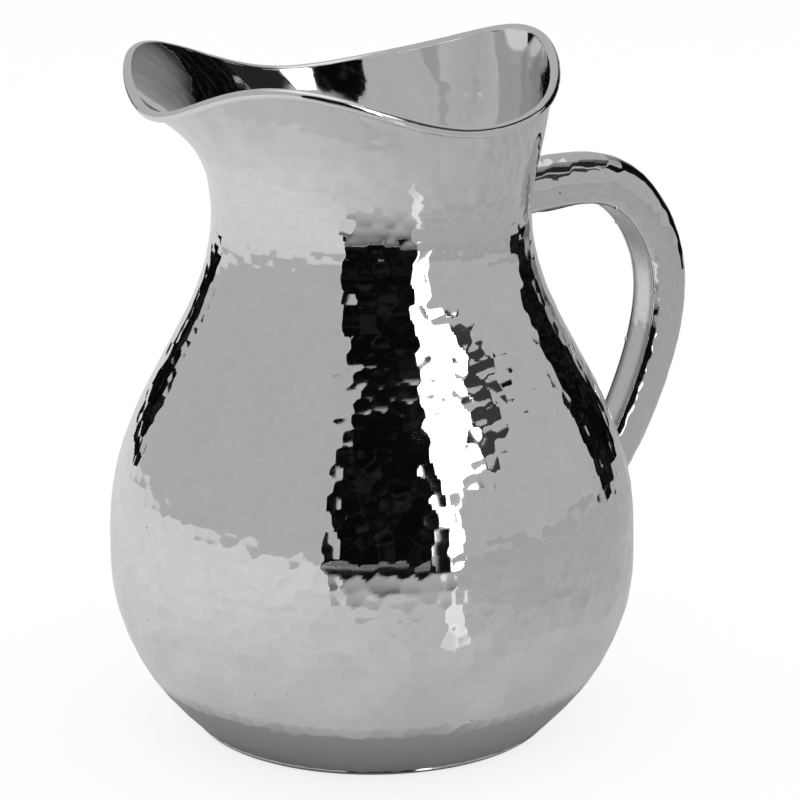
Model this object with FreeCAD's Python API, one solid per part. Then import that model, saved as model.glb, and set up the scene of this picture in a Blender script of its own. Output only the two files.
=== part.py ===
import FreeCAD, Part
import math
import os

# Hammered metal water pitcher: a pear-shaped body of two pressed shells and a base pan, a wavy poured mouth
# edged with a round wire, and a hollow D-section handle soldered to the neck and to the belly.
# Millimetres, +Z up. The origin is the centre of the base on the table, the spout points to -X and the
# handle to +X. The XZ plane is a plane of symmetry.

V = FreeCAD.Vector
UP = V(0, 0, 1)
ORIGIN = V(0, 0, 0)

# Sheet and body of revolution
WALL = 1.0
BELLY_RADIUS = 82.5
BELLY_HEIGHT = 60.0
NECK_RADIUS = 49.4
NECK_HEIGHT = 165.0
# Outer outline between the base edge and the belly, and between the belly and the neck: (radius, height)
LOWER_OUTLINE = [(56.4, 1.6), (61.6, 7.0), (70.9, 18.0), (77.3, 30.0), (81.6, 44.0)]
UPPER_OUTLINE = [(80.8, 80.0), (74.4, 100.0), (64.3, 120.0), (54.4, 140.0)]

# Base pan: flat ring to stand on, pushed-up centre, edge turned up to meet the bowl
PAN_RING_INNER = 43.0
PAN_CENTRE_RADIUS = 37.0
PAN_PUSH_UP = 4.0
# Slope of the bowl at its lower edge, and so of the turned-up edge of the pan, in degrees from the table
PAN_TURN = 45.0
JOINT_WIDTH = 0.6
WELD_CROWN = 0.35

# Wavy rim: mean value and the cosine terms 1 to 7 of its radius and height round the axis
RIM_RADIUS_TERMS = [64.1, -9.8, 0.5, 0.1, -0.8, 0.9, 0.2, -0.2]
RIM_HEIGHT_TERMS = [205.7, 1.8, 4.9, 4.4, -2.9, 1.6, -0.2, 0.1]
RIM_WIRE_RADIUS = 1.6
# The wall's outer surface ends this far inside the centre line of the wire, so that the wire stands out on the
# outside and is nearly flush inside
RIM_WIRE_OUTSET = 0.45
# Flare from the neck to the rim: lean of the wall at the rim, in degrees from vertical, and the two handle
# lengths of its cubic curve as parts of its chord, each as a mean and cosine terms
LEAN_TERMS = [22.5, -25.0, 2.5]
NECK_PULL_TERMS = [0.375, -0.125]
RIM_PULL_TERMS = [0.35, 0.15]

# Handle: centre line in the XZ plane from the neck to the belly, and the D section at its two ends
HANDLE_LINE = [
    (42.0, 164.9), (55.0, 166.7), (70.0, 167.6), (86.6, 164.7), (99.7, 152.9), (106.6, 136.6),
    (106.8, 118.9), (102.4, 101.8), (95.0, 84.5), (85.0, 68.5), (70.0, 51.5),
]
HANDLE_DEPTH_TOP = 16.4
HANDLE_DEPTH_FOOT = 14.0
HANDLE_WIDTH_TOP = 16.0
HANDLE_WIDTH_FOOT = 14.5
HANDLE_SHEET = 1.0
FLAT_CUT = 0.62
SEAM_WIDTH = 0.3
# Solder collars: width, and the parts of the handle's length in which the neck joint and the belly joint lie
SOLDER_LEG = 1.0
NECK_JOINT_END = 0.25
BELLY_JOINT_START = 0.75
# Heights of the body outline that the solder follows, from below the belly joint up to the neck
SOLDER_HEIGHTS = (20.0, 30.0, 40.0, 50.0, 60.0, 70.0, 80.0, 90.0, 100.0, 120.0, 140.0, 155.0)

# Numbers of points, rings and stations that the curves and the lofts pass through
SHEET_POINTS = 17
RING_POINTS = 48
BODY_RINGS = 14
FLARE_RINGS = 8
WIRE_SECTIONS = 36
WIRE_POINTS = 8
HANDLE_STATIONS = 14
SECTION_POINTS = 10
SOLDER_FLARE_RINGS = 6
# Halvings of the outline's range that find a height, step for the numerical normal, gap closed by sewing
HALVINGS = 40
NORMAL_STEP = 1e-3
SEW_GAP = 1e-3


def series(terms, angle):
    """Sum of cosine terms at an angle round the axis; the handle side is angle 0."""
    return sum(value * math.cos(order * angle) for order, value in enumerate(terms))


def body_curve():
    """Outer outline of the body of revolution in the XZ plane, from the base edge up to the neck."""
    outline = LOWER_OUTLINE + [(BELLY_RADIUS, BELLY_HEIGHT)] + UPPER_OUTLINE + [(NECK_RADIUS, NECK_HEIGHT)]
    slope = math.radians(PAN_TURN)
    leaving = V(math.cos(slope), 0, math.sin(slope))
    curve = Part.BSplineCurve()
    curve.interpolate(Points=[V(r, 0, z) for r, z in outline], InitialTangent=leaving, FinalTangent=UP)
    return curve


OUTLINE = body_curve()


def outline_parameter(height):
    """Parameter of the point of the body outline at a height, found by halving."""
    low, high = OUTLINE.FirstParameter, OUTLINE.LastParameter
    for _ in range(HALVINGS):
        middle = (low + high) / 2
        if OUTLINE.value(middle).z < height:
            low = middle
        else:
            high = middle
    return low


def sheet_section(curve, start, end, thickness=WALL):
    """Flat face of a sheet that lies inside a stretch of an outline curve in the XZ plane."""
    outer = Part.Edge(curve, start, end)
    inner_points = []
    for i in range(SHEET_POINTS):
        parameter = start + (end - start) * i / (SHEET_POINTS - 1)
        tangent = curve.tangent(parameter)[0]
        inner_points.append(curve.value(parameter) + V(-tangent.z, 0, tangent.x) * thickness)
    inner_curve = Part.BSplineCurve()
    inner_curve.interpolate(Points=inner_points)
    inner = inner_curve.toShape()
    foot = Part.makeLine(curve.value(start), inner_points[0])
    top = Part.makeLine(curve.value(end), inner_points[-1])
    return Part.Face(Part.Wire(Part.__sortEdges__([outer, top, inner, foot])))


def turn(face):
    """Revolve a flat face of the XZ plane round the vertical axis into a solid."""
    return face.revolve(ORIGIN, UP, 360)


def lower_bowl():
    top = outline_parameter(BELLY_HEIGHT - JOINT_WIDTH / 2)
    return turn(sheet_section(OUTLINE, OUTLINE.FirstParameter, top))


def belly_weld():
    """Weld metal between the two shells, flush outside and slightly crowned inside."""
    low = outline_parameter(BELLY_HEIGHT - JOINT_WIDTH / 2)
    high = outline_parameter(BELLY_HEIGHT + JOINT_WIDTH / 2)
    return turn(sheet_section(OUTLINE, low, high, WALL + WELD_CROWN))


def pan_edge():
    """Outer end of the base pan's section: the bowl's lower edge moved down its slope by the joint width."""
    tangent = OUTLINE.tangent(OUTLINE.FirstParameter)[0]
    outer = OUTLINE.value(OUTLINE.FirstParameter) - tangent * JOINT_WIDTH
    return outer, outer + V(-tangent.z, 0, tangent.x) * WALL


def base_pan():
    """Pressed pan; its outer edge turns up round a small radius to meet the bowl's slope."""
    edge_outer, edge_inner = pan_edge()
    turn_angle = math.radians(PAN_TURN)
    turn_radius = edge_outer.z / (1 - math.cos(turn_angle))
    turn_centre = V(edge_outer.x - turn_radius * math.sin(turn_angle), 0, turn_radius)

    def on_turn(radius, angle):
        return turn_centre + V(math.sin(angle), 0, -math.cos(angle)) * radius

    def turned_edge(radius):
        return Part.Arc(on_turn(radius, 0), on_turn(radius, turn_angle / 2), on_turn(radius, turn_angle))

    outer = [
        V(0, 0, PAN_PUSH_UP), V(PAN_CENTRE_RADIUS, 0, PAN_PUSH_UP), V(PAN_RING_INNER, 0, 0),
        on_turn(turn_radius, 0),
    ]
    inner = [point + UP * WALL for point in outer]
    edges = [Part.makeLine(a, b) for side in (outer, inner) for a, b in zip(side, side[1:])]
    edges += [turned_edge(turn_radius).toShape(), turned_edge(turn_radius - WALL).toShape()]
    edges += [Part.makeLine(edge_outer, edge_inner), Part.makeLine(inner[0], outer[0])]
    return turn(Part.Face(Part.Wire(Part.__sortEdges__(edges))))


def base_weld():
    """Weld metal between the turned-up edge of the pan and the lower edge of the bowl."""
    pan_outer, pan_inner = pan_edge()
    tangent = OUTLINE.tangent(OUTLINE.FirstParameter)[0]
    bowl_outer = OUTLINE.value(OUTLINE.FirstParameter)
    bowl_inner = bowl_outer + V(-tangent.z, 0, tangent.x) * WALL
    return turn(Part.Face(Part.makePolygon([pan_outer, bowl_outer, bowl_inner, pan_inner, pan_outer])))


def rim_centre(angle):
    """Centre of the rim wire as (radius, height)."""
    return series(RIM_RADIUS_TERMS, angle), series(RIM_HEIGHT_TERMS, angle)


def flare_point(angle, t):
    """Outer surface between the neck (t = 0) and the level of the wire's centre (t = 1): (radius, height)."""
    lean = math.radians(series(LEAN_TERMS, angle))
    along = (math.sin(lean), math.cos(lean))
    radius, height = rim_centre(angle)
    end_r = radius - along[1] * RIM_WIRE_OUTSET
    end_z = height + along[0] * RIM_WIRE_OUTSET
    chord = math.hypot(end_r - NECK_RADIUS, end_z - NECK_HEIGHT)
    neck_pull = series(NECK_PULL_TERMS, angle) * chord
    rim_pull = series(RIM_PULL_TERMS, angle) * chord
    control = [
        (NECK_RADIUS, NECK_HEIGHT),
        (NECK_RADIUS, NECK_HEIGHT + neck_pull),
        (end_r - rim_pull * along[0], end_z - rim_pull * along[1]),
        (end_r, end_z),
    ]
    weights = [(1 - t) ** 3, 3 * (1 - t) ** 2 * t, 3 * (1 - t) * t ** 2, t ** 3]
    return tuple(sum(w * point[axis] for w, point in zip(weights, control)) for axis in (0, 1))


def outer_point(angle, s):
    """Outer surface of the upper body: s from 0 at the belly to 1 at the neck, then to 2 at the rim."""
    if s <= 1:
        low = outline_parameter(BELLY_HEIGHT + JOINT_WIDTH / 2)
        at = OUTLINE.value(low + (OUTLINE.LastParameter - low) * s)
        radius, height = at.x, at.z
    else:
        radius, height = flare_point(angle, s - 1)
    return V(radius * math.cos(angle), radius * math.sin(angle), height)


def inner_point(angle, s):
    """Point one wall thickness inside the outer surface, along its normal."""
    before, after = (s - NORMAL_STEP, s) if s > NORMAL_STEP else (s, s + NORMAL_STEP)
    along = outer_point(angle, after) - outer_point(angle, before)
    round_axis = outer_point(angle + NORMAL_STEP, s) - outer_point(angle - NORMAL_STEP, s)
    normal = round_axis.cross(along)
    normal.normalize()
    return outer_point(angle, s) - normal * WALL


def closed_curve(points):
    curve = Part.BSplineCurve()
    curve.interpolate(Points=points, PeriodicFlag=True)
    return curve


def skin(point_at):
    """Smooth open shell through rings of a surface given as point_at(angle, s)."""
    stations = [i / BODY_RINGS for i in range(BODY_RINGS)]
    stations += [1 + i / FLARE_RINGS for i in range(FLARE_RINGS + 1)]
    rings = []
    for s in stations:
        ring = [point_at(2 * math.pi * i / RING_POINTS, s) for i in range(RING_POINTS)]
        rings.append(Part.Wire([closed_curve(ring).toShape()]))
    return Part.makeLoft(rings, False, False), rings[0], rings[-1]


def upper_body(wire):
    """Upper shell; its top is hollowed to seat the rim wire."""
    outer, outer_foot, outer_rim = skin(outer_point)
    inner, inner_foot, inner_rim = skin(inner_point)
    foot = Part.makeRuledSurface(outer_foot, inner_foot)
    lip = Part.makeRuledSurface(outer_rim, inner_rim)
    shell = Part.makeShell(outer.Faces + inner.Faces + foot.Faces + lip.Faces)
    shell.sewShape(SEW_GAP)
    solid = outward(Part.makeSolid(Part.Shell(shell.Faces)))
    return max(solid.cut(wire).Solids, key=lambda piece: piece.Volume)


def outward(solid):
    """The same solid with its faces turned so that its volume is positive."""
    if solid.Volume < 0:
        solid.reverse()
    return solid


def rim_wire():
    """Round wire along the wavy rim, lofted through circles square to its path."""
    centres = []
    for i in range(RING_POINTS):
        angle = 2 * math.pi * i / RING_POINTS
        radius, height = rim_centre(angle)
        centres.append(V(radius * math.cos(angle), radius * math.sin(angle), height))
    path = closed_curve(centres)
    sections = []
    for i in range(WIRE_SECTIONS):
        parameter = path.FirstParameter + (path.LastParameter - path.FirstParameter) * i / WIRE_SECTIONS
        across = path.tangent(parameter)[0].cross(UP)
        across.normalize()
        upward = across.cross(path.tangent(parameter)[0])
        ring = []
        for k in range(WIRE_POINTS):
            angle = 2 * math.pi * k / WIRE_POINTS
            offset = across * math.cos(angle) + upward * math.sin(angle)
            ring.append(path.value(parameter) + offset * RIM_WIRE_RADIUS)
        sections.append(Part.Wire([closed_curve(ring).toShape()]))
    return outward(Part.makeLoft(sections, True, False, True))


def handle_curve():
    curve = Part.BSplineCurve()
    curve.interpolate(Points=[V(x, 0, z) for x, z in HANDLE_LINE])
    return curve


HANDLE = handle_curve()


class HandleSection:
    """D section of the handle at a part of its length: an ellipse cut flat on the side facing the body."""

    def __init__(self, part, grow=0.0):
        first, last = HANDLE.FirstParameter, HANDLE.LastParameter
        parameter = first + (last - first) * part
        self.centre = HANDLE.value(parameter)
        tangent = HANDLE.tangent(parameter)[0]
        self.outside = V(-tangent.z, 0, tangent.x)
        depth = HANDLE_DEPTH_TOP + (HANDLE_DEPTH_FOOT - HANDLE_DEPTH_TOP) * part
        width = HANDLE_WIDTH_TOP + (HANDLE_WIDTH_FOOT - HANDLE_WIDTH_TOP) * part
        self.semi_depth = depth / (1 + FLAT_CUT)
        self.semi_width = width / 2
        self.middle = depth / 2 - self.semi_depth
        self.grow = grow

    def place(self, out, side):
        return self.centre + self.outside * out + V(0, side, 0)

    def arc(self, inset):
        """Points of the round outer side, from one seam to the other, moved in by the inset."""
        semi_depth = self.semi_depth - inset + self.grow
        semi_width = self.semi_width - inset + self.grow
        flat = self.semi_depth * FLAT_CUT - inset + self.grow
        limit = math.acos(-flat / semi_depth)
        points = []
        for i in range(SECTION_POINTS + 1):
            angle = limit * (2 * i / SECTION_POINTS - 1)
            out = self.middle + semi_depth * math.cos(angle)
            points.append(self.place(out, semi_width * math.sin(angle)))
        return points

    def corners(self, narrow):
        """Four corners of the flat inner side, its edges drawn in by a distance."""
        outer = self.arc(0.0)
        inner = self.arc(HANDLE_SHEET)
        draw = V(0, narrow, 0)
        return [outer[0] + draw, outer[-1] - draw, inner[-1] - draw, inner[0] + draw]


def spline_edge(points):
    curve = Part.BSplineCurve()
    curve.interpolate(Points=points)
    return curve.toShape()


def channel_wire(section):
    outer = section.arc(0.0)
    inner = section.arc(HANDLE_SHEET)
    return Part.Wire([
        spline_edge(outer), Part.makeLine(outer[-1], inner[-1]),
        spline_edge(inner[::-1]), Part.makeLine(inner[0], outer[0]),
    ])


def strip_wire(section):
    corners = section.corners(SEAM_WIDTH)
    return Part.makePolygon(corners + corners[:1])


def seam_wire(section, end):
    wide = section.corners(0.0)
    narrow = section.corners(SEAM_WIDTH)
    outer, inner = (0, 3) if end == 0 else (1, 2)
    points = [wide[outer], narrow[outer], narrow[inner], wide[inner]]
    return Part.makePolygon(points + points[:1])


def filled_wire(section):
    outer = section.arc(0.0)
    return Part.Wire([spline_edge(outer), Part.makeLine(outer[-1], outer[0])])


def along_handle(wire_at, grow=0.0, start=0.0, end=1.0):
    """Solid lofted through one wire at each station of a stretch of the handle."""
    stations = [start + (end - start) * i / (HANDLE_STATIONS - 1) for i in range(HANDLE_STATIONS)]
    return outward(Part.makeLoft([wire_at(HandleSection(part, grow)) for part in stations], True, False))


def outside_of(shape, shells):
    """The part of a handle piece that stays outside the body shells."""
    for shell in shells:
        shape = shape.cut(shell)
    return max(shape.Solids, key=lambda solid: solid.CenterOfMass.x)


def solder_fillet(shells, filled, start, end, zone):
    """Low collar of solder round an end of the handle, on the body's surface."""
    collar = along_handle(filled_wire, SOLDER_LEG, start, end).common(zone)
    collar = collar.cut(filled)
    for shell in shells:
        collar = collar.cut(shell)
    return max(collar.Solids, key=lambda solid: solid.CenterOfMass.x)


def solder_zone():
    """Body of revolution one solder leg larger than the body on the handle side."""
    outline = [OUTLINE.value(outline_parameter(z)) for z in SOLDER_HEIGHTS]
    flare = [flare_point(0.0, i / FLARE_RINGS) for i in range(SOLDER_FLARE_RINGS)]
    points = [V(p.x + SOLDER_LEG, 0, p.z) for p in outline] + [V(r + SOLDER_LEG, 0, z) for r, z in flare]
    side = spline_edge(points)
    low, high = points[0], points[-1]
    wire = Part.Wire([
        Part.makeLine(V(0, 0, low.z), low), side,
        Part.makeLine(high, V(0, 0, high.z)), Part.makeLine(V(0, 0, high.z), V(0, 0, low.z)),
    ])
    return turn(Part.Face(wire))


def pieces():
    wire = rim_wire()
    upper = upper_body(wire)
    bowl = lower_bowl()
    belly = belly_weld()
    shells = [upper, bowl, belly]
    channel = outside_of(along_handle(channel_wire), shells)
    strip = outside_of(along_handle(strip_wire), shells)
    seams = [outside_of(along_handle(lambda s, e=end: seam_wire(s, e)), shells) for end in (0, 1)]
    filled = along_handle(filled_wire)
    zone = solder_zone()
    return {
        "upper_body": upper,
        "lower_bowl": bowl,
        "base_pan": base_pan(),
        "belly_weld": belly,
        "base_weld": base_weld(),
        "rim_wire": wire,
        "handle_outer_channel": channel,
        "handle_inner_strip": strip,
        "handle_seam_solder": Part.makeCompound(seams),
        "neck_solder_fillet": solder_fillet(shells, filled, 0.0, NECK_JOINT_END, zone),
        "belly_solder_fillet": solder_fillet(shells, filled, BELLY_JOINT_START, 1.0, zone),
    }


os.makedirs("parts", exist_ok=True)
for name, shape in pieces().items():
    shape.exportStep(os.path.join("parts", name + ".step"))
    box = shape.BoundBox
    print(f"{name}: {len(shape.Solids)} solid(s), {shape.Volume:.0f} mm3, valid {shape.isValid()},"
          f" x {box.XMin:.1f}..{box.XMax:.1f}, z {box.ZMin:.1f}..{box.ZMax:.1f}")
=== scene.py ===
import math

import bpy
import numpy as np
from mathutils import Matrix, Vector, kdtree


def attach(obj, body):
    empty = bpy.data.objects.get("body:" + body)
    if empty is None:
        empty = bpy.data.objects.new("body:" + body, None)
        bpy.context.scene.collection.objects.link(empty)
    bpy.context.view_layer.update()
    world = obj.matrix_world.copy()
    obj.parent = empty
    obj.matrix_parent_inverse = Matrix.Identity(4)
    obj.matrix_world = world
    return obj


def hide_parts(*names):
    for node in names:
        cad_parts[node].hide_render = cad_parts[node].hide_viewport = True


# Hammered metal water pitcher. Its lengths are in millimetres until a mesh is made, the stage's in metres.
# +Z is up, the spout points to -X and the handle to +X. The surfaces repeat the CAD part's outline, and the
# hammer marks lie just under it.

MM = 0.001
TAU = 2 * math.pi
SMALL_STEP = 1e-3  # for slopes taken as differences
WALL = 1.0

# ---------------------------------------------------------------- outline of the body, as in the CAD part
OUTLINE = [
    (56.4, 1.6), (61.6, 7.0), (70.9, 18.0), (77.3, 30.0), (81.6, 44.0), (82.5, 60.0),
    (80.8, 80.0), (74.4, 100.0), (64.3, 120.0), (54.4, 140.0), (49.4, 165.0),
]
BASE_SLOPE = (math.sqrt(0.5), math.sqrt(0.5))
OUTLINE_SAMPLES = 4001
NECK_RADIUS, NECK_HEIGHT = 49.4, 165.0
BELLY_HEIGHT = 60.0
JOINT_WIDTH = 0.6
RIM_RADIUS_TERMS = [64.1, -9.8, 0.5, 0.1, -0.8, 0.9, 0.2, -0.2]
RIM_HEIGHT_TERMS = [205.7, 1.8, 4.9, 4.4, -2.9, 1.6, -0.2, 0.1]
RIM_WIRE_RADIUS = 1.6
RIM_WIRE_OUTSET = 0.45
LEAN_TERMS = [22.5, -25.0, 2.5]
NECK_PULL_TERMS = [0.375, -0.125]
RIM_PULL_TERMS = [0.35, 0.15]
FLARE_ARC = 48.0  # length given to the flare, from neck to rim wire
FLARE_SAMPLES = 200

# ---------------------------------------------------------------- handle, as in the CAD part
HANDLE_LINE = [
    (42.0, 164.9), (55.0, 166.7), (70.0, 167.6), (86.6, 164.7), (99.7, 152.9), (106.6, 136.6),
    (106.8, 118.9), (102.4, 101.8), (95.0, 84.5), (85.0, 68.5), (70.0, 51.5),
]
HANDLE_DEPTH = (16.4, 14.0)
HANDLE_WIDTH = (16.0, 14.5)
FLAT_CUT = 0.62
LIMIT = math.acos(-FLAT_CUT)  # angle in the section at which the round side meets the flat strip
END_SINK = 0.45  # how deep the handle's ends reach into the body's wall
END_SAMPLES = 1500

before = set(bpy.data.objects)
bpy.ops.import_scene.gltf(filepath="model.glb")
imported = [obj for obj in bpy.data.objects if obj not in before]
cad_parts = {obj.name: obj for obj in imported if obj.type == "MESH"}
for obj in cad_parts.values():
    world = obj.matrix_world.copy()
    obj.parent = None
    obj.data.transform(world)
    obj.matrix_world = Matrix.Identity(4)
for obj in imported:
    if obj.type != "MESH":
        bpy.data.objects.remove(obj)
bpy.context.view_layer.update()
random = np.random.default_rng(7)


def series(terms, angle):
    """Cosine series round the axis; angle 0 is at the handle."""
    return sum(value * np.cos(order * angle) for order, value in enumerate(terms))


class Spline:
    """Cubic spline through points, by chord length. An end follows the given slope, or else is not-a-knot."""

    def __init__(self, points, start=None, end=None):
        p = np.array(points, float)
        h = np.linalg.norm(np.diff(p, axis=0), axis=1)
        self.knots = np.concatenate([[0.0], np.cumsum(h)])
        delta = np.diff(p, axis=0) / h[:, None]
        n = len(p)
        a = np.zeros((n, n))
        b = np.zeros_like(p)
        for i in range(1, n - 1):
            a[i, i - 1], a[i, i], a[i, i + 1] = h[i], 2 * (h[i - 1] + h[i]), h[i - 1]
            b[i] = 3 * (h[i] * delta[i - 1] + h[i - 1] * delta[i])
        for row, side, ends in ((0, start, (0, 1)), (n - 1, end, (-1, -2))):
            near, far = ends
            beside = row + (1 if row == 0 else -1)
            if side is not None:
                a[row, row] = 1
                b[row] = side
            else:
                hn, hf = h[near], h[far]
                a[row, row], a[row, beside] = hf, hn + hf
                b[row] = ((hn + 2 * (hn + hf)) * hf * delta[near] + hn * hn * delta[far]) / (hn + hf)
        self.p, self.h, self.delta = p, h, delta
        self.slope = np.linalg.solve(a, b)

    def __call__(self, u):
        u = np.atleast_1d(np.asarray(u, float))
        i = np.clip(np.searchsorted(self.knots, u, side="right") - 1, 0, len(self.h) - 1)
        h = self.h[i][:, None]
        t = ((u - self.knots[i])[:, None]) / h
        s0, s1, d = self.slope[i], self.slope[i + 1], self.delta[i]
        return self.p[i] + h * t * (s0 + t * ((3 * d - 2 * s0 - s1) + t * (s0 + s1 - 2 * d)))

    @property
    def length(self):
        return self.knots[-1]


BODY = Spline(OUTLINE, BASE_SLOPE, (0.0, 1.0))
outline_u = np.linspace(0, BODY.length, OUTLINE_SAMPLES)
outline_points = BODY(outline_u)
outline_arc = np.concatenate([[0.0], np.cumsum(np.linalg.norm(np.diff(outline_points, axis=0), axis=1))])
BODY_ARC = outline_arc[-1]
TOP = BODY_ARC + FLARE_ARC


def body_at(arc):
    """Body outline (radius, height) at arc lengths from the base edge."""
    return BODY(np.interp(arc, outline_arc, outline_u))


def arc_at_height(z):
    return float(np.interp(z, outline_points[:, 1], outline_arc))


def flare_at(angle, t):
    """Outer surface between the neck (t = 0) and the rim wire (t = 1): radius and height arrays."""
    lean = np.radians(series(LEAN_TERMS, angle))
    along_r, along_z = np.sin(lean), np.cos(lean)
    radius, height = series(RIM_RADIUS_TERMS, angle), series(RIM_HEIGHT_TERMS, angle)
    end_r = radius - along_z * RIM_WIRE_OUTSET
    end_z = height + along_r * RIM_WIRE_OUTSET
    chord = np.hypot(end_r - NECK_RADIUS, end_z - NECK_HEIGHT)
    neck_pull, rim_pull = series(NECK_PULL_TERMS, angle) * chord, series(RIM_PULL_TERMS, angle) * chord
    w0, w1, w2, w3 = (1 - t) ** 3, 3 * (1 - t) ** 2 * t, 3 * (1 - t) * t**2, t**3
    r = w0 * NECK_RADIUS + w1 * NECK_RADIUS + w2 * (end_r - rim_pull * along_r) + w3 * end_r
    z = w0 * NECK_HEIGHT + w1 * (NECK_HEIGHT + neck_pull) + w2 * (end_z - rim_pull * along_z) + w3 * end_z
    return r, z


def surface(angle, m):
    """Plain outer surface. m is the arc length up the body, and then runs from BODY_ARC to TOP on the flare."""
    angle, m = np.broadcast_arrays(np.asarray(angle, float), np.asarray(m, float))
    rz = body_at(np.minimum(m, BODY_ARC).ravel()).reshape(m.shape + (2,))
    t = np.maximum(m - BODY_ARC, 0) / FLARE_ARC
    fr, fz = flare_at(angle, t)
    r = np.where(m > BODY_ARC, fr, rz[..., 0])
    z = np.where(m > BODY_ARC, fz, rz[..., 1])
    return np.stack([r * np.cos(angle), r * np.sin(angle), z], axis=-1)


def surface_normal(angle, m):
    """Outward unit normals of that surface."""
    low = np.maximum(m - SMALL_STEP, 0)
    up = surface(angle, low + 2 * SMALL_STEP) - surface(angle, low)
    around = surface(angle + SMALL_STEP, m) - surface(angle - SMALL_STEP, m)
    n = np.cross(around, up)
    return n / np.linalg.norm(n, axis=-1, keepdims=True)


# ---------------------------------------------------------------- hammer marks
MARK_WIDTH = 5.3
MARK_ROW = 4.7  # distance between rows of marks
MARK_ENDS = (1.2, 1.0)  # first row from the base edge, last row from the top
MARK_JITTER = 0.13  # of a mark's width and of a row
ROW_JITTER = 0.12
LOWEST_SITE = 0.2
MARK_CURVE = 1 / 42  # one over a dish's radius
CURVE_SPREAD = (0.8, 1.25)
NEAREST_MARKS = 8
SOFT_RIDGE = 0.022  # height over which two dishes blend
RIDGE_REACH = 0.03
INSET = 0.14  # the hammered surfaces lie this far under the plain outline
LEAST_DEPTH = 0.004
RIDGE_INSET = 0.035
INNER_MARKS = 0.65  # depth of the marks inside, in parts of the outer ones
INNER_INSET = 0.02
FLARE_LOSS = 0.7  # part of the marks' depth lost on the flare
FLARE_FADE = (-2, 22)
RIM_FADE = (-6, -1)
SWAY = 0.045  # slow unevenness of the whole sheet
SWAY_FADE = (-8, 0)


class Marks:
    """Overlapping hammer marks: each is a shallow round dish, and ridges lie where dishes meet."""

    def __init__(self, sites, normals, depth, tilt):
        n = len(sites)
        self.sites = sites
        self.low = random.normal(0, depth, n)
        lean = random.normal(0, tilt, (n, 3))
        lean -= normals * (lean * normals).sum(1)[:, None]
        self.lean = lean
        self.curve = MARK_CURVE * random.uniform(*CURVE_SPREAD, n)
        self.tree = kdtree.KDTree(n)
        for i, s in enumerate(sites):
            self.tree.insert(s, i)
        self.tree.balance()

    def height(self, points):
        """Height over the dish bottoms, its gradient, and how near a ridge each point is (0 to 1)."""
        index = np.array([[hit[1] for hit in self.tree.find_n(p, NEAREST_MARKS)] for p in points])
        d = points[:, None, :] - self.sites[index]
        h = self.low[index] + (d * self.lean[index]).sum(2) + 0.5 * self.curve[index] * (d * d).sum(2)
        lowest = h.min(1, keepdims=True)
        share = np.exp(-(h - lowest) / SOFT_RIDGE)
        total = share.sum(1)
        soft = lowest[:, 0] - SOFT_RIDGE * np.log(total)
        slopes = self.lean[index] + d * self.curve[index][:, :, None]
        slope = (slopes * (share / total[:, None])[:, :, None]).sum(1)
        second = np.sort(h, axis=1)[:, 1]
        ridge = np.exp(-(second - lowest[:, 0]) / RIDGE_REACH)
        return soft, slope, ridge


def ring_sites():
    """Sites in rows round the axis, each row about half a mark on from the one below, and their normals."""
    sites, normals = [], []
    turn = 0.0
    for m in np.arange(MARK_ENDS[0], TOP - MARK_ENDS[1], MARK_ROW):
        radius = np.linalg.norm(surface(np.zeros(1), np.array([m]))[0, :2])
        count = round(TAU * radius / MARK_WIDTH)
        turn += (0.5 + random.uniform(-ROW_JITTER, ROW_JITTER)) / count
        angle = TAU * (np.arange(count) / count + turn) + random.normal(0, MARK_JITTER, count) * TAU / count
        level = np.clip(m + random.normal(0, MARK_JITTER * MARK_ROW, count), LOWEST_SITE, TOP)
        sites.append(surface(angle, level))
        normals.append(surface_normal(angle, level))
    return np.concatenate(sites), np.concatenate(normals)


BODY_MARKS = Marks(*ring_sites(), depth=0.012, tilt=0.012)


def waves(points, count, size, seed):
    """Smooth random field of about unit size, and its gradient, made of sine waves of one length."""
    r = np.random.default_rng(seed)
    way = r.normal(size=(count, 3))
    way *= TAU / size / np.linalg.norm(way, axis=1)[:, None]
    phase = r.uniform(0, TAU, count)
    at = points @ way.T + phase
    size_one = math.sqrt(2 / count)
    return np.sin(at).sum(1) * size_one, (np.cos(at) @ way) * size_one


def smooth_step(x, low, high):
    t = np.clip((x - low) / (high - low), 0, 1)
    return t * t * (3 - 2 * t)


def mark_strength(m):
    """Full marks on the body, lighter ones on the flare, none right under the rim wire."""
    flare = 1 - FLARE_LOSS * smooth_step(m, BODY_ARC + FLARE_FADE[0], BODY_ARC + FLARE_FADE[1])
    return flare * (1 - smooth_step(m, TOP + RIM_FADE[0], TOP + RIM_FADE[1]))


def outer_depth(points, m):
    """Depth of the hammered surface under the plain outline, that depth's gradient, and the ridge value."""
    h, slope, ridge = BODY_MARKS.height(points)
    strength = mark_strength(m)
    top_of_marks = 0.5 * MARK_CURVE * (0.5 * MARK_WIDTH) ** 2 + RIDGE_INSET
    fade = SWAY * (1 - smooth_step(m, TOP + SWAY_FADE[0], TOP + SWAY_FADE[1]))
    sway, sway_slope = waves(points, count=24, size=46.0, seed=3)
    depth = (top_of_marks - h) * strength + INSET + fade * sway
    gradient = -slope * strength[:, None] + fade[:, None] * sway_slope
    return np.maximum(depth, LEAST_DEPTH), gradient, ridge * strength


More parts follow.
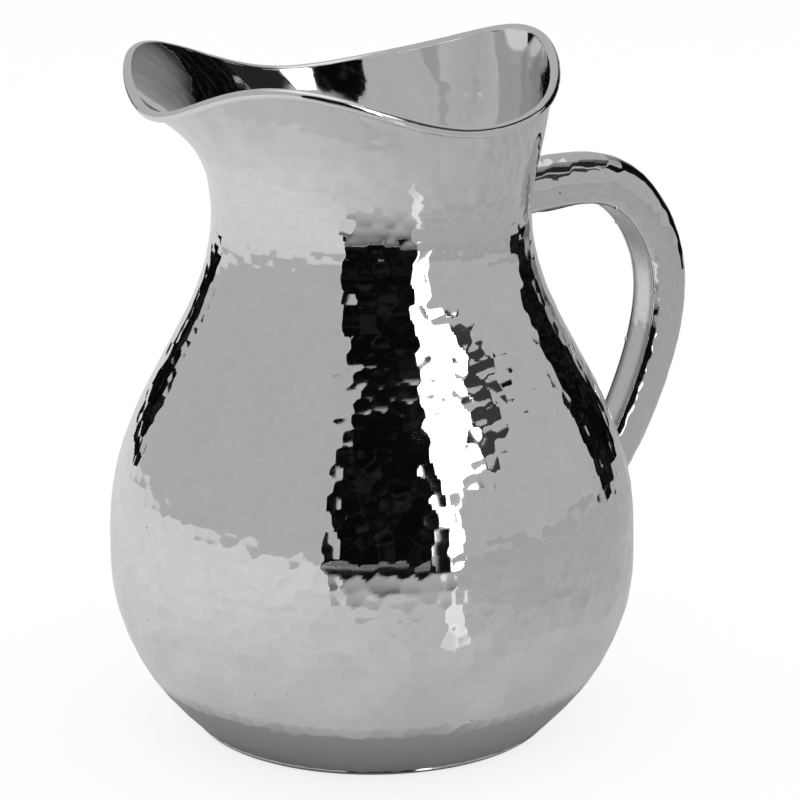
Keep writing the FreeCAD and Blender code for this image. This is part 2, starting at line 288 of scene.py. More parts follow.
# ---------------------------------------------------------------- meshes
def make_piece(name, points, faces, layers=None, normals=None):
    """Smooth mesh from points in millimetres. layers are named values for its material, one for each point."""
    mesh = bpy.data.meshes.new(name)
    mesh.from_pydata((np.asarray(points) * MM).tolist(), [], faces)
    for layer, values in (layers or {}).items():
        attribute = mesh.attributes.new(layer, "FLOAT", "POINT")
        attribute.data.foreach_set("value", np.asarray(values, np.float32))
    mesh.polygons.foreach_set("use_smooth", [True] * len(mesh.polygons))
    mesh.update()
    if normals is not None:
        mesh.normals_split_custom_set_from_vertices(normals.tolist())
    piece = bpy.data.objects.new(name, mesh)
    bpy.context.scene.collection.objects.link(piece)
    return piece


def grid_faces(rows, columns, start=0, flip=False, closed=False):
    """Faces between rings of points, one ring a row; closed also joins the last ring to the first."""
    faces = []
    for i in range(rows if closed else rows - 1):
        low, high = start + i * columns, start + (i + 1) % rows * columns
        for j in range(columns):
            k = (j + 1) % columns
            a, b, c, d = low + j, low + k, high + k, high + j
            faces.append((a, d, c, b) if flip else (a, b, c, d))
    return faces


def turned(face, flip):
    return face[::-1] if flip else face


def ring_strip(first, first_count, second, second_count, flip):
    """Faces between two closed rings; the first is the finer, by a whole number."""
    ratio = first_count // second_count
    faces = []
    for j in range(second_count):
        fine = [first + (j * ratio + k) % first_count for k in range(ratio + 1)]
        coarse = [second + (j + 1) % second_count, second + j]
        faces.append(tuple(turned(fine + coarse, flip)))
    return faces


def bent_normals(normal, gradient):
    """Normals of a surface that lies deeper by a field with this gradient."""
    along = (gradient * normal).sum(1)[:, None]
    bent = normal + gradient - normal * along
    return bent / np.linalg.norm(bent, axis=1)[:, None]


def shell_side(rows, columns):
    """Plain surface on a grid of points: places, normals, and the marks' depth, gradient and ridge value."""
    grid_angle, grid_m = np.meshgrid(TAU * np.arange(columns) / columns, rows)
    angle, m = grid_angle.ravel(), grid_m.ravel()
    base = surface(angle, m)
    return (base, surface_normal(angle, m), *outer_depth(base, m))


def shell_piece(name, outer_rows, inner_rows):
    """Closed sheet-metal shell between two heights: hammered outside, softer marks inside."""
    base, normal, depth, gradient, ridge = shell_side(outer_rows, COLUMNS)
    outer = base - normal * depth[:, None]
    normals = bent_normals(normal, gradient)
    base, normal, depth, gradient, inner_ridge = shell_side(inner_rows, INNER_COLUMNS)
    inner = base - normal * (WALL + INNER_MARKS * depth + INNER_INSET)[:, None]
    inner_normals = -bent_normals(normal, INNER_MARKS * gradient)
    n = len(outer)
    last_outer, last_inner = n - COLUMNS, n + len(inner) - INNER_COLUMNS
    faces = grid_faces(len(outer_rows), COLUMNS)
    faces += grid_faces(len(inner_rows), INNER_COLUMNS, n, flip=True)
    faces += ring_strip(0, COLUMNS, n, INNER_COLUMNS, flip=True)
    faces += ring_strip(last_outer, COLUMNS, last_inner, INNER_COLUMNS, flip=False)
    return make_piece(name, np.concatenate([outer, inner]), faces,
                      layers={"ridge": np.concatenate([ridge, INNER_MARKS * inner_ridge])},
                      normals=np.concatenate([normals, inner_normals]))


def rows_between(low, high, step):
    return np.linspace(low, high, round((high - low) / step) + 1)


def upper_rows(body_step, flare_step):
    """Rows from the belly joint to the rim wire, with their own step on the flare."""
    return np.concatenate([rows_between(upper_foot, BODY_ARC, body_step),
                           BODY_ARC + rows_between(0, FLARE_ARC, flare_step)[1:]])


# No piece has over 200,000 triangles, the most that an STL file keeps.
COLUMNS, INNER_COLUMNS = 504, 252
ROW_STEP, FLARE_STEP = 0.93, 1.35
INNER_STEP, INNER_FLARE_STEP, INNER_BOWL_STEP = 2.1, 1.7, 2.0
JOINT_STEP, INNER_JOINT_STEP = 0.3, 0.6

bowl_top = arc_at_height(BELLY_HEIGHT - JOINT_WIDTH / 2)
upper_foot = arc_at_height(BELLY_HEIGHT + JOINT_WIDTH / 2)

upper = shell_piece("upper_body_hammered", upper_rows(ROW_STEP, FLARE_STEP),
                    upper_rows(INNER_STEP, INNER_FLARE_STEP))
bowl = shell_piece("lower_bowl_hammered", rows_between(0, bowl_top, ROW_STEP),
                   rows_between(0, bowl_top, INNER_BOWL_STEP))
weld = shell_piece("belly_weld_hammered", rows_between(bowl_top, upper_foot, JOINT_STEP),
                   rows_between(bowl_top, upper_foot, INNER_JOINT_STEP))

RIM_AROUND, RIM_SECTION = 900, 28
FILED_AWAY = 0.022
FILING_WAVES = ((0.016, 9.0, 11), (0.012, 4.0, 12))  # depth, length and seed


def rim_wire():
    """Round wire along the wavy rim, with the slight unevenness of hand filing."""
    angle = TAU * np.arange(RIM_AROUND) / RIM_AROUND
    r, z = series(RIM_RADIUS_TERMS, angle), series(RIM_HEIGHT_TERMS, angle)
    centre = np.stack([r * np.cos(angle), r * np.sin(angle), z], axis=1)
    tangent = np.roll(centre, -1, axis=0) - np.roll(centre, 1, axis=0)
    tangent /= np.linalg.norm(tangent, axis=1)[:, None]
    across = np.cross(tangent, (0, 0, 1))
    across /= np.linalg.norm(across, axis=1)[:, None]
    upward = np.cross(across, tangent)
    turn = TAU * np.arange(RIM_SECTION) / RIM_SECTION
    radial = (across[:, None, :] * np.cos(turn)[None, :, None]
              + upward[:, None, :] * np.sin(turn)[None, :, None])
    smooth = centre[:, None, :] + radial * RIM_WIRE_RADIUS
    uneven = FILED_AWAY
    for depth, size, seed in FILING_WAVES:
        uneven = uneven + depth * waves(smooth.reshape(-1, 3), count=30, size=size, seed=seed)[0]
    points = smooth - radial * np.maximum(uneven, 0).reshape(RIM_AROUND, RIM_SECTION, 1)
    faces = grid_faces(RIM_AROUND, RIM_SECTION, closed=True)
    return make_piece("rim_wire_polished", points.reshape(-1, 3), faces)


rim = rim_wire()

# ---------------------------------------------------------------- handle
HANDLE = Spline(HANDLE_LINE)
HANDLE_MARK_ROW = 4.4
FIRST_HANDLE_ROW = 2.0
CHANNEL_MARKS = 8  # marks across the round side
STAGGER = 0.18  # radians from row to row
HANDLE_JITTER = (0.7, 0.07)  # millimetres along, radians round
STRIP_MARKS = (-0.75, -0.25, 0.25, 0.75)
STRIP_MARK_SPAN = 0.8
STRIP_JITTER = 0.05
HANDLE_MARK_REACH = 2.5  # from a dish's bottom to its ridge
CROWDED_STATIONS, EVEN_STATIONS = 0.35, 0.65  # stations crowd towards the handle's ends by this share
CHANNEL_COUNTS, STRIP_COUNTS = (61, 420), (25, 400)  # points across and along
CHANNEL_LIP, STRIP_BEVEL = 0.999, 0.96  # width of the inner line in parts of the outer one
STRIP_GAP = 0.05
# The inner strip is darker along its edges at the seams, and has painted shade over its upper half.
SEAM_DARK, UPPER_PAINTED_SHADE = 0.85, 0.75
SEAM_DARK_SPAN, UPPER_PAINTED_SHADE_SPAN = (0.35, 1.0), (0.42, 0.56)  # across from the middle, along from the neck
DROP_RINGS, DROP_SIDES = 10, 16
DROP_FLATNESS, DROP_HEIGHT = 0.7, 1.5
DROP_SINK = 0.1


def handle_frame(part):
    """Section at parts of the length: centre, outward direction, the round side's half axes, full depth."""
    u = HANDLE.length * part
    centre = HANDLE(u)
    tangent = HANDLE(np.minimum(u + SMALL_STEP, HANDLE.length)) - HANDLE(np.maximum(u - SMALL_STEP, 0))
    tangent /= np.linalg.norm(tangent, axis=1)[:, None]
    outside = np.stack([-tangent[:, 1], tangent[:, 0]], axis=1)
    depth = HANDLE_DEPTH[0] + (HANDLE_DEPTH[1] - HANDLE_DEPTH[0]) * part
    width = HANDLE_WIDTH[0] + (HANDLE_WIDTH[1] - HANDLE_WIDTH[0]) * part
    return centre, outside, depth / (1 + FLAT_CUT), width / 2, depth


def handle_point(part, out, side):
    """Point at a part of the length, out and side being lengths in the section."""
    centre, outside, _, _, _ = handle_frame(part)
    xz = centre + outside * out[:, None]
    return np.stack([xz[:, 0], side, xz[:, 1]], axis=1)


flare_r, flare_z = flare_at(np.zeros(FLARE_SAMPLES), np.linspace(0, 1, FLARE_SAMPLES))
profile_z = np.concatenate([outline_points[:, 1], flare_z[1:]])
profile_r = np.concatenate([outline_points[:, 0], flare_r[1:]])


def beyond_body(points):
    """Rough distance of points outside the body's outer surface, on the handle side."""
    return np.hypot(points[:, 0], points[:, 1]) - np.interp(points[:, 2], profile_z, profile_r)


def section_offsets(part, g, inset):
    """Section outline of the round side at angles g: (out, side)."""
    _, _, semi_depth, semi_width, depth = handle_frame(part)
    return depth / 2 - semi_depth + (semi_depth - inset) * np.cos(g), (semi_width - inset) * np.sin(g)


def line_ends(offsets):
    """First and last parts of the handle's length at which a line along it has left the body's wall."""
    part = np.linspace(0, 1, END_SAMPLES)
    where = np.nonzero(beyond_body(handle_point(part, *offsets(part))) > -END_SINK)[0]
    return part[where[0]], part[where[-1]]


def handle_sites():
    """Places of the handle's marks, row by row: across the round side, then across the flat strip."""
    sites = []
    for row, x in enumerate(np.arange(FIRST_HANDLE_ROW, HANDLE.length, HANDLE_MARK_ROW)):
        part = x / HANDLE.length
        for g in np.linspace(-LIMIT, LIMIT, CHANNEL_MARKS) + (STAGGER if row % 2 else -STAGGER):
            at = np.array([part + random.normal(0, HANDLE_JITTER[0]) / HANDLE.length])
            turn = np.array([g + random.normal(0, HANDLE_JITTER[1])])
            sites.append(handle_point(at, *section_offsets(at, turn, 0.0))[0])
        for w in STRIP_MARKS:
            at = np.array([part + random.normal(0, HANDLE_JITTER[0]) / HANDLE.length])
            _, _, semi_depth, semi_width, depth = handle_frame(at)
            out = depth / 2 - semi_depth - semi_depth * FLAT_CUT
            side = semi_width * STRIP_MARK_SPAN * (w + random.normal(0, STRIP_JITTER))
            sites.append(handle_point(at, out, side)[0])
    return np.array(sites)


marks_at = handle_sites()
HANDLE_MARKS = Marks(marks_at, np.zeros_like(marks_at), depth=0.02, tilt=0.012)


def handle_sheet(name, lines, stations, inward, seam_dark_and_painted_shade_at=None):
    """Closed thick sheet along the handle.

    lines are pairs of functions across the sheet, which give the offsets of its outer and inner surface at
    parts of the length. inward says that the outer surface looks towards the body.
    """
    outer, inner = [], []
    even = np.linspace(0, 1, stations)
    crowded = 0.5 - 0.5 * np.cos(np.pi * even)
    for outer_at, inner_at in lines:
        low, high = line_ends(outer_at)
        part = low + (high - low) * crowded * CROWDED_STATIONS + (high - low) * even * EVEN_STATIONS
        outer.append(handle_point(part, *outer_at(part)))
        inner.append(handle_point(part, *inner_at(part)))
    outer, inner = np.array(outer), np.array(inner)
    columns = len(lines)
    along = np.gradient(outer, axis=1)
    across = np.gradient(outer, axis=0)
    normal = np.cross(across, along)
    normal /= np.linalg.norm(normal, axis=2)[:, :, None]
    normal *= np.sign(((outer - inner) * normal).sum())
    h, _, ridge = HANDLE_MARKS.height(outer.reshape(-1, 3))
    top_of_marks = 0.5 * MARK_CURVE * HANDLE_MARK_REACH**2
    depth = np.maximum(top_of_marks + INSET - h, 0.0).reshape(columns, stations)
    outer = outer - normal * depth[:, :, None]
    points = np.concatenate([outer.reshape(-1, 3), inner.reshape(-1, 3)])
    n = columns * stations
    faces = []

    def close(a, b, flip):
        """Wall between the outer and the inner surface, along the edge from a to b."""
        faces.append(turned((a, b, b + n, a + n), flip != inward))

    for i in range(columns - 1):
        for j in range(stations - 1):
            a, b = i * stations + j, (i + 1) * stations + j
            faces.append(turned((a, b, b + 1, a + 1), inward))
            faces.append(turned((a + n, b + n, b + n + 1, a + n + 1), not inward))
    for j in range(stations - 1):
        for i, flip in ((0, False), (columns - 1, True)):
            close(i * stations + j, i * stations + j + 1, flip)
    for i in range(columns - 1):
        for j, flip in ((0, True), (stations - 1, False)):
            close(i * stations + j, (i + 1) * stations + j, flip)
    layers = {"ridge": np.concatenate([ridge, np.zeros(n)])}
    # Seam darkening and painted shade, one value for each point, for the material.
    if seam_dark_and_painted_shade_at:
        across, along = np.meshgrid(np.linspace(-1, 1, columns), np.linspace(0, 1, stations), indexing="ij")
        layers["seam_dark_and_painted_shade"] = np.tile(seam_dark_and_painted_shade_at(across.ravel(), along.ravel()), 2)
    return make_piece(name, points, faces, layers=layers)


def channel_lines(count):
    return [(lambda part, g=g: section_offsets(part, g, 0.0),
             lambda part, g=g: section_offsets(part, g * CHANNEL_LIP, WALL))
            for g in np.linspace(-LIMIT, LIMIT, count)]


def strip_lines(count):
    def offsets(part, w, inset):
        _, _, semi_depth, semi_width, depth = handle_frame(part)
        out = depth / 2 - semi_depth - semi_depth * FLAT_CUT + inset
        return out, (semi_width * math.sin(LIMIT) - STRIP_GAP) * w
    return [(lambda part, w=w: offsets(part, w, 0.0), lambda part, w=w: offsets(part, w * STRIP_BEVEL, WALL))
            for w in np.linspace(-1, 1, count)]


channel = handle_sheet("handle_channel_hammered", channel_lines(CHANNEL_COUNTS[0]), CHANNEL_COUNTS[1],
                       inward=False)


def strip_seam_dark_and_painted_shade(across, along):
    """Darker along the strip's edges at the seams, and painted shade over its upper half, which faces the body
    under the handle's arch.
    """
    edge = SEAM_DARK * smooth_step(np.abs(across), *SEAM_DARK_SPAN)
    upper_painted_shade = UPPER_PAINTED_SHADE * (1 - smooth_step(along, *UPPER_PAINTED_SHADE_SPAN))
    return np.maximum(edge, upper_painted_shade)


strip = handle_sheet("handle_strip_hammered", strip_lines(STRIP_COUNTS[0]), STRIP_COUNTS[1], inward=True,
                     seam_dark_and_painted_shade_at=strip_seam_dark_and_painted_shade)


def solder_drops(name, drops):
    """Uneven drops of solder by the seam; each is (part of the length, angle off the seam, side, radius)."""
    points, faces = [], []
    for part, off_seam, side, radius in drops:
        at = np.array([part])
        middle = handle_point(at, *section_offsets(at, side * (LIMIT - off_seam), DROP_SINK))[0]
        first = len(points)
        for i in range(1, DROP_RINGS):
            tilt = math.pi * i / DROP_RINGS
            for j in range(DROP_SIDES):
                turn = TAU * j / DROP_SIDES
                bulge = 0.2 * math.sin(2 * turn + 9 * part) * math.sin(tilt)
                waist = 0.12 * math.cos(3 * tilt + side)
                points.append(middle + radius * (1 + bulge + waist) * np.array([
                    math.sin(tilt) * math.cos(turn), DROP_FLATNESS * math.sin(tilt) * math.sin(turn),
                    DROP_HEIGHT * math.cos(tilt)]))
        faces += grid_faces(DROP_RINGS - 1, DROP_SIDES, first, flip=True)
        last = len(points) - DROP_SIDES
        faces.append(tuple(range(first, first + DROP_SIDES)))
        faces.append(tuple(reversed(range(last, last + DROP_SIDES))))
    return make_piece(name, points, faces)


drops = solder_drops("handle_seam_solder_drops", (
    (0.430, 0.30, -1, 0.7), (0.506, 0.04, -1, 0.9), (0.545, 0.30, -1, 0.8), (0.560, 0.16, -1, 0.6),
    (0.27, 0.05, -1, 0.6), (0.35, 0.1, 1, 0.7), (0.62, 0.05, 1, 0.8)))

# ---------------------------------------------------------------- materials


def node(tree, kind, inputs=None, **settings):
    """New node with its settings, and values for its inputs by name or number."""
    made = tree.nodes.new(kind)
    for key, value in settings.items():
        setattr(made, key, value)
    for key, value in (inputs or {}).items():
        made.inputs[key].default_value = value
    return made


def noise(tree, place, scale, detail, roughness=0.5):
    """Value of a noise texture at a place."""
    made = node(tree, "ShaderNodeTexNoise", {"Scale": scale, "Detail": detail, "Roughness": roughness})
    tree.links.new(place, made.inputs["Vector"])
    return made.outputs["Fac"]


def map_range(tree, value, low, high, to_low, to_high):
    made = node(tree, "ShaderNodeMapRange", {
        "From Min": low, "From Max": high, "To Min": to_low, "To Max": to_high})
    tree.links.new(value, made.inputs["Value"])
    return made.outputs["Result"]


def math_of(tree, operation, first, second):
    """Result of an operation on a socket and a second socket or number."""
    made = node(tree, "ShaderNodeMath", operation=operation)
    tree.links.new(first, made.inputs[0])
    if isinstance(second, float):
        made.inputs[1].default_value = second
    else:
        tree.links.new(second, made.inputs[1])
    return made.outputs[0]


def mixed(tree, factor, first, second):
    """Colour between a first and a second, each a socket or a colour."""
    made = node(tree, "ShaderNodeMix", data_type="RGBA")
    tree.links.new(factor, made.inputs["Factor"])
    for key, value in (("A", first), ("B", second)):
        if isinstance(value, tuple):
            made.inputs[key].default_value = (*value, 1)
        else:
            tree.links.new(value, made.inputs[key])
    return made.outputs["Result"]


def layer(tree, name):
    """Value that make_piece has stored in the mesh under this name."""
    return node(tree, "ShaderNodeAttribute", attribute_name=name).outputs["Fac"]


RIDGE_WEAR = 0.35
WORN_LIGHT = 1.1
PIT_SCALE, PIT_SIZE, PIT_COLOUR = 90, 0.026, (0.05, 0.05, 0.05)
# Colour of the strip's dark seams and of the painted shade on its upper half.
SEAM_AND_SHADE_COLOUR = (0.16, 0.16, 0.16)
ROUGH_SPAN = (0.12, 0.42)  # values of the lines times the patches that give the lowest and highest roughness


def metal(name, light, dark, rough_low, rough_high, scratch_shape=(1, 1, 1)):
    """Polished white metal: cloudy tone, bright ridges, sparse pits, dark seams and painted shade from a mesh
    layer, dull patches, fine lines.
    """
    material = bpy.data.materials.new(name)
    material.use_nodes = True
    tree = material.node_tree
    link = tree.links.new
    shader = tree.nodes["Principled BSDF"]
    shader.inputs["Metallic"].default_value = 1.0
    place = node(tree, "ShaderNodeTexCoord").outputs["Object"]

    tone = mixed(tree, noise(tree, place, scale=38, detail=6, roughness=0.6), dark, light)
    worn_colour = tuple(min(1, c * WORN_LIGHT) for c in light)
    worn = mixed(tree, math_of(tree, "MULTIPLY", layer(tree, "ridge"), RIDGE_WEAR), tone, worn_colour)
    cells = node(tree, "ShaderNodeTexVoronoi", {"Scale": PIT_SCALE})
    link(place, cells.inputs["Vector"])
    pitted = mixed(tree, math_of(tree, "LESS_THAN", cells.outputs["Distance"], PIT_SIZE), worn, PIT_COLOUR)
    # The mesh layer mixes in dark seams and painted shade.
    link(mixed(tree, layer(tree, "seam_dark_and_painted_shade"), pitted, SEAM_AND_SHADE_COLOUR), shader.inputs["Base Color"])

    stretch = node(tree, "ShaderNodeMapping", {"Scale": scratch_shape})
    link(place, stretch.inputs["Vector"])
    lines = noise(tree, stretch.outputs["Vector"], scale=900, detail=3)
    patches = noise(tree, place, scale=90, detail=5)
    both = math_of(tree, "MULTIPLY", lines, patches)
    link(map_range(tree, both, *ROUGH_SPAN, rough_low, rough_high), shader.inputs["Roughness"])
    bump = node(tree, "ShaderNodeBump", {"Strength": 0.15, "Distance": 0.00002})
    link(lines, bump.inputs["Height"])
    link(bump.outputs["Normal"], shader.inputs["Normal"])
    return material


hammered = metal("hammered_body_metal", (0.80, 0.80, 0.795), (0.75, 0.75, 0.745), 0.02, 0.09, (1, 1, 3))
handle_metal = metal("hammered_handle_metal", (0.77, 0.77, 0.765), (0.68, 0.68, 0.675), 0.03, 0.10, (2, 1, 1))
rim_metal = metal("polished_rim_metal", (0.84, 0.84, 0.835), (0.77, 0.77, 0.765), 0.04, 0.12)
joint_metal = metal("polished_joint_metal", (0.78, 0.78, 0.775), (0.66, 0.66, 0.655), 0.06, 0.16)
satin_metal = metal("satin_base_metal", (0.70, 0.70, 0.695), (0.60, 0.60, 0.595), 0.22, 0.36)

for piece, cad_name, material, slot_name in (
    (upper, "upper_body", hammered, "hammered_body"),
    (bowl, "lower_bowl", hammered, "hammered_body"),
    (weld, "belly_weld", hammered, "polished_joint"),
    (rim, "rim_wire", rim_metal, "polished_rim"),
    (channel, "handle_outer_channel", handle_metal, "hammered_handle"),
    (strip, "handle_inner_strip", handle_metal, "hammered_handle"),
):
    piece.data.materials.append(material)
    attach(piece, "root")
    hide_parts(cad_name)

drops.data.materials.append(joint_metal)
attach(drops, "root")

for cad_name, material, slot_name in (
    ("base_pan", satin_metal, "satin_base"),
    ("base_weld", joint_metal, "polished_joint"),
    ("handle_seam_solder", joint_metal, "polished_joint"),
    ("neck_solder_fillet", joint_metal, "polished_joint"),
    ("belly_solder_fillet", joint_metal, "polished_joint"),
):
    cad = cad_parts[cad_name]
    cad.data.materials.clear()
    cad.data.materials.append(material)

# ---------------------------------------------------------------- stage, in metres and degrees
CAMERA_AZIMUTH = -28.15  # of the camera round the Z axis, from -Y towards +X
FLOOR_HALF = 4
ABOVE_FLOOR = 0.0006  # height of the panels that lie on the floor
UNDER_FLOOR = -0.0004  # height of the floor that reflections see
PAPER_SPAN = 0.25  # the paper's light changes over this far to each side
PAPER_LIGHT = (0.35, 0.06)  # on the camera's left and right
SHADE_EDGE = (0.069, 0.077)  # radius at which the shade under the pitcher ends
SHADE = -0.24
PAPER_NOISE = 0.05
CLOTH_SHEEN = 0.02
WALL_LIGHT = (0.485, 0.515)
NOISE_SPAN = (0.3, 0.7)  # values of a noise texture that give the lowest and highest light


def plain_surface(name, colour, emission):
    """Matt surface of a grey value that also glows."""
    material = bpy.data.materials.new(name)
    material.use_nodes = True
    shader = material.node_tree.nodes["Principled BSDF"]
    shader.inputs["Base Color"].default_value = (colour, colour, colour, 1)
    shader.inputs["Roughness"].default_value = 0.8
    shader.inputs["Specular IOR Level"].default_value = 0.0
    shader.inputs["Emission Color"].default_value = (1, 1, 1, 1)
    shader.inputs["Emission Strength"].default_value = emission
    return material


def set_glow(material, socket):
    tree = material.node_tree
    tree.links.new(socket, tree.nodes["Principled BSDF"].inputs["Emission Strength"])


def paper_surface(name):
    """Pale paper that glows as painted light, brighter on the camera's left, with painted shadow under the
    pitcher, and faintly uneven.
    """
    material = plain_surface(name, 0.7, 0.1)
    tree = material.node_tree
    place = node(tree, "ShaderNodeTexCoord").outputs["Object"]
    azimuth = math.radians(CAMERA_AZIMUTH)
    to_right = (math.cos(azimuth), math.sin(azimuth), 0)
    right = node(tree, "ShaderNodeVectorMath", {1: to_right}, operation="DOT_PRODUCT")
    outward = node(tree, "ShaderNodeVectorMath", operation="LENGTH")
    for measure in (right, outward):
        tree.links.new(place, measure.inputs[0])
    cloud = noise(tree, place, scale=22, detail=4)
    sideways = map_range(tree, right.outputs["Value"], -PAPER_SPAN, PAPER_SPAN, *PAPER_LIGHT)
    # Painted shadow: less glow within a radius under the pitcher.
    under = map_range(tree, outward.outputs["Value"], *SHADE_EDGE, SHADE, 0.0)
    uneven = map_range(tree, cloud, *NOISE_SPAN, -PAPER_NOISE, PAPER_NOISE)
    total = math_of(tree, "ADD", math_of(tree, "ADD", sideways, under), uneven)
    set_glow(material, math_of(tree, "MAXIMUM", total, 0.0))
    return material


def black_cloth():
    """Black cloth with a faint uneven painted sheen, made by glow."""
    material = plain_surface("black_cloth", 0.004, 0.01)
    tree = material.node_tree
    weave = noise(tree, node(tree, "ShaderNodeTexCoord").outputs["Object"], scale=9, detail=4)
    set_glow(material, map_range(tree, weave, 0.5, 0.75, 0.0, CLOTH_SHEEN))
    return material


def stage_panel(name, mesh, material):
    """Stage surface that only reflections see."""
    mesh.materials.append(material)
    panel = bpy.data.objects.new(name, mesh)
    bpy.context.scene.collection.objects.link(panel)
    panel.visible_camera = False
    panel.visible_diffuse = False
    panel.visible_shadow = False
    return panel


def toward(azimuth, elevation, distance, centre=(0, 0, 0.1)):
    """Point in a direction; azimuth 0 is towards the camera and grows to the camera's right."""
    a, e = math.radians(CAMERA_AZIMUTH + azimuth), math.radians(elevation)
    return (centre[0] + distance * math.sin(a) * math.cos(e),
            centre[1] - distance * math.cos(a) * math.cos(e),
            centre[2] + distance * math.sin(e))


def window(name, outline, distance, material, centre=(0, 0, 0.1)):
    """Panel that fills a window of directions seen from a point, given as (azimuth, elevation) corners.

    Without a distance the panel lies on the floor.
    """
    corners = [toward(az, el, distance or (centre[2] - ABOVE_FLOOR) / math.sin(math.radians(-el)), centre)
               for az, el in outline]
    mesh = bpy.data.meshes.new(name)
    middle = tuple(sum(c[k] for c in corners) / len(corners) for k in range(3))
    last = len(corners)
    mesh.from_pydata(corners + [middle], [], [(i, (i + 1) % last, last) for i in range(last)])
    return stage_panel(name, mesh, material)


def graded_window(name, outline, distance, centre=(0, 0, 0.1)):
    """Window whose corners are (azimuth, elevation, glow); the glow blends from corner to corner."""
    panel = window(name, [corner[:2] for corner in outline], distance, graded, centre)
    glow = panel.data.attributes.new("glow", "FLOAT", "POINT")
    values = [corner[2] for corner in outline]
    glow.data.foreach_set("value", values + [sum(values) / len(values)])


def floor_sheet(name, height, material):
    mesh = bpy.data.meshes.new(name)
    corners = [(x * FLOOR_HALF, y * FLOOR_HALF, height) for x, y in ((-1, -1), (1, -1), (1, 1), (-1, 1))]
    mesh.from_pydata(corners, [], [(0, 1, 2, 3)])
    return stage_panel(name, mesh, material)


# The floor that the camera sees is white. The one that the metal reflects is darker paper, with painted light
# on the left and painted shadow under the pitcher.
seen_floor = floor_sheet("floor", 0.0, plain_surface("white_floor", 0.4, 0.78))
seen_floor.visible_camera = True
seen_floor.visible_glossy = False
floor_sheet("floor_reflected", UNDER_FLOOR, paper_surface("pale_floor"))

# Points of the pitcher from which the windows below are seen.
FRONT = toward(15, 0, 0.085, (0, 0, 0.08))
LOW_FRONT = toward(18, 0, 0.085, (0, 0, 0.055))
MOUTH = (0.0, 0.0, 0.2)

black = black_cloth()
grey_card = plain_surface("grey_card", 0.01, 0.04)
dark_card = plain_surface("dark_card", 0.01, 0.015)
softbox = plain_surface("softbox", 0.9, 2.2)
zenith_light = plain_surface("zenith_light", 0.01, 1.0)
graded = plain_surface("graded_card", 0.01, 0.1)
set_glow(graded, layer(graded.node_tree, "glow"))

# The black cloth in front, which fades out upwards. Its shadow is painted on the floor in front of it.
window("front_flag", [(-20, -5), (30, -5), (30, 34), (-20, 34)], 0.9, black, FRONT)
window("front_flag_high",
       [(-20, 32), (30, 32), (30, 36), (34, 41), (34, 48), (-10, 48), (-20, 42)], 0.72, black, FRONT)
graded_window("front_flag_top", [(-10, 48, 0.01), (34, 48, 0.01), (34, 52, 0.5), (-8, 52, 0.5)], 0.72, FRONT)
# Painted shadow of the black cloth: darker sheets lying on the floor before it.
graded_window("front_flag_painted_shadow_near",
              [(-20, -5.3, 0.06), (30, -5.3, 0.06), (30, -9, 0.32), (-20, -9, 0.32)], None, FRONT)
graded_window("front_flag_painted_shadow_far",
              [(-20, -9, 0.32), (30, -9, 0.32), (30, -18, 0.5), (-20, -18, 0.5)], None, FRONT)

# The softbox on the camera's right, the streak of its light painted on the floor, and the grey card beside it.
graded_window("softbox_painted_floor_light", [
    (30, -9, 0.9), (38, -9, 0.9), (40, -24, 1.0), (35, -36, 0.7), (26, -36, 0.7), (29, -20, 1.2)],
    None, LOW_FRONT)
window("softbox_right", [
    (31, -2), (36, -2), (37, 20), (42, 24), (50, 26), (59, 29), (59, 45), (37, 45), (34, 41), (31, 36)],
    1.1, softbox, FRONT)
window("right_flag", [(59, 22), (62, 28), (80, 30), (80, 36), (59, 37)], 1.2, grey_card, FRONT)

# The black cloth behind on the right, and its soft edge.
window("far_right_flag", [(117, -6), (151, -6), (151, 8), (117, 8)], 1.0, black)
window("far_right_cloth", [
    (82, 30), (100, 28), (112, 26), (119, 18), (119, 4), (149, 4),
    (149, 16), (145, 24), (136, 30), (124, 34), (100, 37), (84, 38)], 3.0, black)
graded_window("far_right_edge_1", [
    (149, 4, 0.01), (149, 16, 0.01), (145, 24, 0.01), (158, 26, 0.32), (164, 16, 0.32), (164, 4, 0.32)], 3.1)
graded_window("far_right_edge_2", [
    (145, 24, 0.01), (136, 30, 0.01), (124, 34, 0.01), (130, 38, 0.3), (146, 34, 0.3), (158, 26, 0.32)], 3.1)

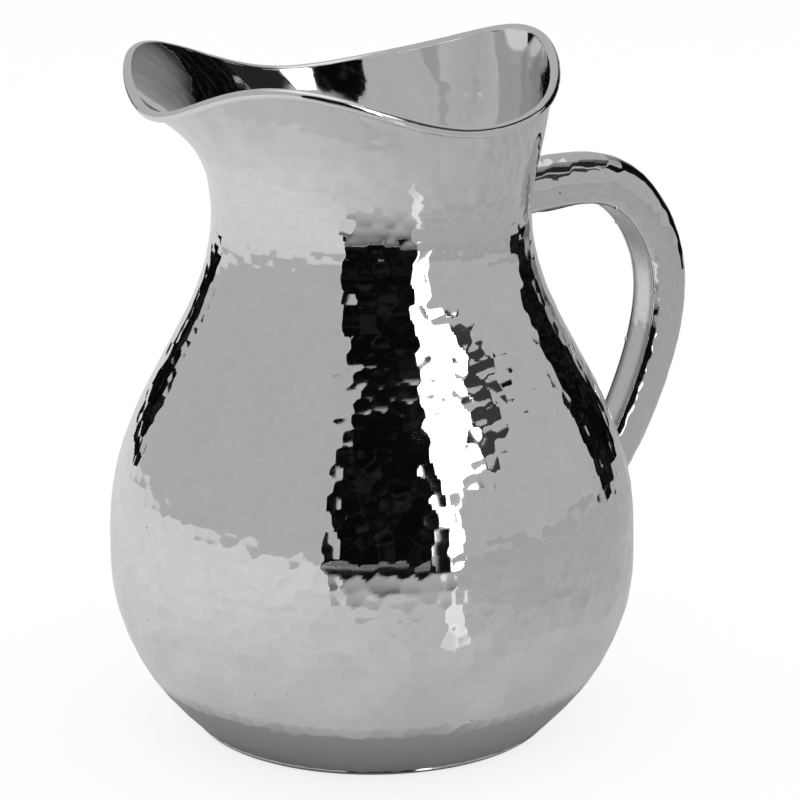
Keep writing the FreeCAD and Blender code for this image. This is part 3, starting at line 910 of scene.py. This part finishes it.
# What the handle and the mouth's inside reflect, the light overhead, and the black cloth behind on the left.
graded_window("handle_stripe", [
    (60, 43, 0.03), (75, 44, 0.02), (90, 46, 0.02), (104, 42, 0.02), (118, 38, 0.02),
    (124, 42, 0.1), (112, 54, 0.25), (92, 62, 0.4), (74, 60, 0.4), (60, 52, 0.3)], 1.0)
window("mouth_card", [(62, 29), (80, 30), (104, 31), (106, 42), (80, 42), (58, 38)], 0.42, dark_card, MOUTH)
graded_window("mouth_reflector", [(-26, 49, 0.7), (20, 49, 0.7), (16, 60, 0.6), (-22, 60, 0.6)], 0.9)
window("zenith", [(az, 70) for az in range(0, 360, 20)], 1.2, zenith_light)
window("far_left_flag", [(-152, -4), (-130, -4), (-130, 7), (-152, 7)], 1.0, black)

world = bpy.data.worlds.new("studio")
bpy.context.scene.world = world
world.use_nodes = True
walls = world.node_tree
direction = node(walls, "ShaderNodeTexCoord").outputs["Generated"]
wall_light = map_range(walls, noise(walls, direction, scale=7, detail=3), *NOISE_SPAN, *WALL_LIGHT)
walls.nodes["Background"].inputs["Color"].default_value = (1, 1, 1, 1)
walls.links.new(wall_light, walls.nodes["Background"].inputs["Strength"])

lamp = bpy.data.lights.new("overhead", "AREA")
lamp.shape = "RECTANGLE"
lamp.size = lamp.size_y = 1.6
lamp.energy = 3.0
lamp_object = bpy.data.objects.new("overhead", lamp)
lamp_object.location = (0.1, -0.1, 1.8)
bpy.context.scene.collection.objects.link(lamp_object)

CAMERA_PLACE = (-0.4535, -0.8476, 0.3656)
CAMERA_TARGET = Vector((0.0094, -0.0010, 0.1025))
camera = bpy.data.cameras.new("camera")
camera.lens = 143.7
camera.sensor_width = 36
camera_object = bpy.data.objects.new("camera", camera)
camera_object.location = CAMERA_PLACE
aim = CAMERA_TARGET - camera_object.location
camera_object.rotation_euler = aim.to_track_quat("-Z", "Y").to_euler()
bpy.context.scene.collection.objects.link(camera_object)
bpy.context.scene.camera = camera_object
bpy.context.scene.view_settings.view_transform = "Standard"
